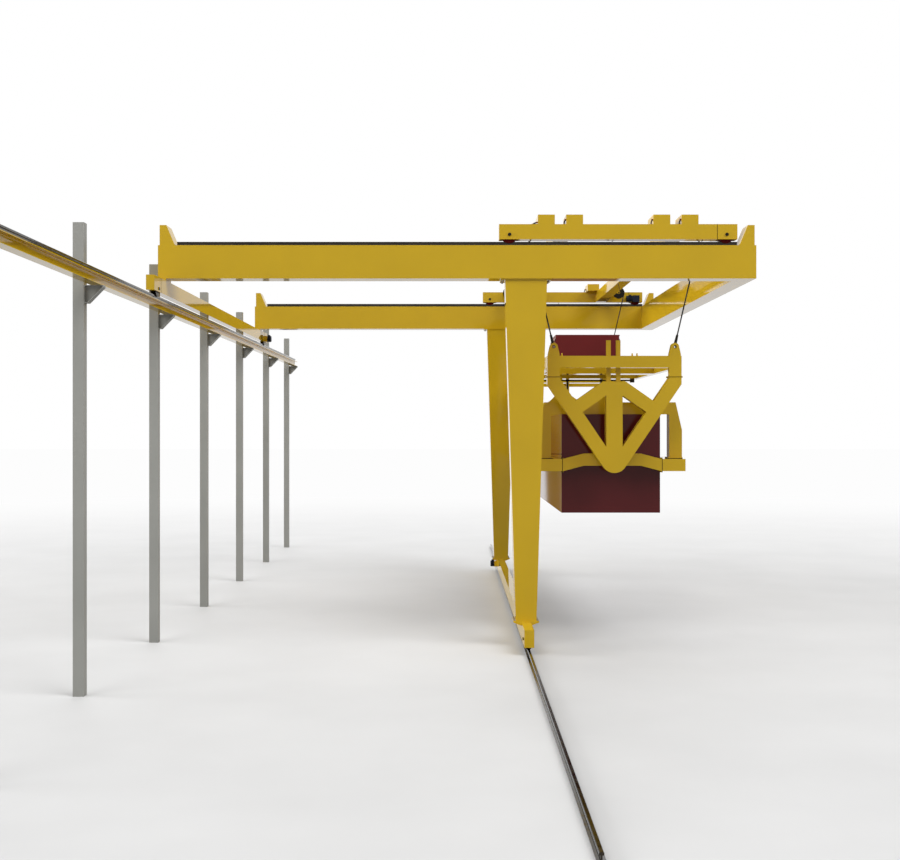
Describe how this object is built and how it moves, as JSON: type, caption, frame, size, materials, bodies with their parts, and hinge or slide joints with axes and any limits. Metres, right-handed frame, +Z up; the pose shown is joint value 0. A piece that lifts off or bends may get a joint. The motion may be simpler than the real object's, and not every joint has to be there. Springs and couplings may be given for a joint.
{
  "type": "gantry crane",
  "caption": "Yellow semi-gantry crane on a raised runway, with a trolley, hoisted spreader and a turning cradle that grips a shipping container.",
  "frame": {"origin": "on the ground, at the middle of the whole part's width and of the ground rail's length", "axes": "+X from the column row to the free ends of the girders, +Y along the rails away from the viewer, +Z up"},
  "size_m": [14.46, 39.9, 10.218],
  "materials": {
    "crane_paint": "satin yellow enamel paint on welded steel plate",
    "column_paint": "matt grey paint on steel box columns",
    "rail_steel": "dark rolled rail steel, worn bright on the head",
    "wheel_paint": "dark red paint on cast wheels",
    "wheel_steel": "dark forged steel, worn bright on the tread",
    "machine_paint": "dark blue machine enamel",
    "rope_steel": "greased steel wire rope",
    "dark_steel": "oiled dark steel",
    "cabinet_paint": "dark red sheet metal paint",
    "container_paint": "dark maroon container paint"
  },
  "bodies": {
    "runway": {"runway_columns": "column_paint", "runway_brackets": "column_paint", "runway_beam": "crane_paint", "runway_rail": "rail_steel", "ground_rail": "rail_steel"},
    "crane": {"near_girder": "crane_paint", "far_girder": "crane_paint", "girder_rails": "rail_steel", "rail_stops": "crane_paint", "near_leg": "crane_paint", "far_leg": "crane_paint", "leg_flanges": "crane_paint", "sill_beam": "crane_paint", "runway_carriage": "crane_paint", "end_tie_beam": "crane_paint", "crane_gearboxes": "crane_paint", "crane_motors": "machine_paint"},
    "trolley": {"trolley_near_frame": "crane_paint", "trolley_far_frame": "crane_paint", "trolley_cross_beams": "crane_paint", "hoist_boxes": "crane_paint", "rope_sheaves": "wheel_steel", "hoist_ropes": "rope_steel", "hoist_rope_bends": "rope_steel", "trolley_gearboxes": "machine_paint", "trolley_motors": "machine_paint"},
    "spreader": {"near_lifting_beam": "crane_paint", "far_lifting_beam": "crane_paint", "near_yoke": "crane_paint", "far_yoke": "crane_paint", "guide_posts": "crane_paint", "spreader_side_beams": "crane_paint", "spreader_cross_members": "crane_paint", "power_unit": "cabinet_paint", "cross_shaft": "dark_steel", "latch_levers": "dark_steel", "rope_sockets": "dark_steel"},
    "cradle": {"cradle_side_beams": "crane_paint", "near_crossbar": "crane_paint", "far_crossbar": "crane_paint", "near_cradle_arch": "crane_paint", "middle_cradle_arch": "crane_paint", "far_cradle_arch": "crane_paint", "cradle_lugs": "crane_paint", "container": "container_paint"},
    "sill_wheel_near": {"sill_wheel_near": "wheel_steel"},
    "sill_wheel_far": {"sill_wheel_far": "wheel_steel"},
    "runway_wheel_near": {"runway_wheel_near": "wheel_steel"},
    "runway_wheel_far": {"runway_wheel_far": "wheel_steel"},
    "trolley_wheel_near_left": {"trolley_wheel_near_left": "wheel_paint"},
    "trolley_wheel_near_right": {"trolley_wheel_near_right": "wheel_paint"},
    "trolley_wheel_far_left": {"trolley_wheel_far_left": "wheel_paint"},
    "trolley_wheel_far_right": {"trolley_wheel_far_right": "wheel_paint"}
  },
  "joints": [
    {"name": "crane_travel", "type": "slide", "parent": "runway", "child": "crane", "axis": [0, 1, 0], "range_m": [-10.3, 8.8]},
    {"name": "trolley_travel", "type": "slide", "parent": "crane", "child": "trolley", "axis": [1, 0, 0], "range_m": [-7.7, 0.08]},
    {"name": "hoist", "type": "slide", "parent": "trolley", "child": "spreader", "axis": [0, 0, 1], "range_m": [-2.05, 1.5], "deforming": ["hoist_ropes"]},
    {"name": "cradle_turn", "type": "hinge", "parent": "spreader", "child": "cradle", "pos_m": [3.993, 2.28, 4.394], "axis": [0, 1, 0], "range_deg": [-180, 180]},
    {"name": "sill_wheel_near_spin", "type": "hinge", "parent": "crane", "child": "sill_wheel_near", "pos_m": [1.809, -6, 0.3163], "axis": [1, 0, 0], "range_deg": [-2523, 2952]},
    {"name": "sill_wheel_far_spin", "type": "hinge", "parent": "crane", "child": "sill_wheel_far", "pos_m": [1.809, 10.56, 0.3163], "axis": [1, 0, 0], "range_deg": [-2523, 2952]},
    {"name": "runway_wheel_near_spin", "type": "hinge", "parent": "crane", "child": "runway_wheel_near", "pos_m": [-6.779, -6, 8.3713], "axis": [1, 0, 0], "range_deg": [-3363, 3936]},
    {"name": "runway_wheel_far_spin", "type": "hinge", "parent": "crane", "child": "runway_wheel_far", "pos_m": [-6.779, 10.56, 8.3713], "axis": [1, 0, 0], "range_deg": [-3363, 3936]},
    {"name": "trolley_wheel_near_left_spin", "type": "hinge", "parent": "trolley", "child": "trolley_wheel_near_left", "pos_m": [1.421, -5.035, 9.7493], "axis": [0, 1, 0], "range_deg": [-2794, 31]},
    {"name": "trolley_wheel_near_right_spin", "type": "hinge", "parent": "trolley", "child": "trolley_wheel_near_right", "pos_m": [6.565, -5.035, 9.7493], "axis": [0, 1, 0], "range_deg": [-2794, 31]},
    {"name": "trolley_wheel_far_left_spin", "type": "hinge", "parent": "trolley", "child": "trolley_wheel_far_left", "pos_m": [1.421, 9.595, 9.7493], "axis": [0, 1, 0], "range_deg": [-2794, 31]},
    {"name": "trolley_wheel_far_right_spin", "type": "hinge", "parent": "trolley", "child": "trolley_wheel_far_right", "pos_m": [6.565, 9.595, 9.7493], "axis": [0, 1, 0], "range_deg": [-2794, 31]}
  ],
  "couplings": [
    {"joint": "sill_wheel_near_spin", "follows": "crane_travel", "rad_per_m": -5},
    {"joint": "sill_wheel_far_spin", "follows": "crane_travel", "rad_per_m": -5},
    {"joint": "runway_wheel_near_spin", "follows": "crane_travel", "rad_per_m": -6.6667},
    {"joint": "runway_wheel_far_spin", "follows": "crane_travel", "rad_per_m": -6.6667},
    {"joint": "trolley_wheel_near_left_spin", "follows": "trolley_travel", "rad_per_m": 6.3291},
    {"joint": "trolley_wheel_near_right_spin", "follows": "trolley_travel", "rad_per_m": 6.3291},
    {"joint": "trolley_wheel_far_left_spin", "follows": "trolley_travel", "rad_per_m": 6.3291},
    {"joint": "trolley_wheel_far_right_spin", "follows": "trolley_travel", "rad_per_m": 6.3291}
  ]
}
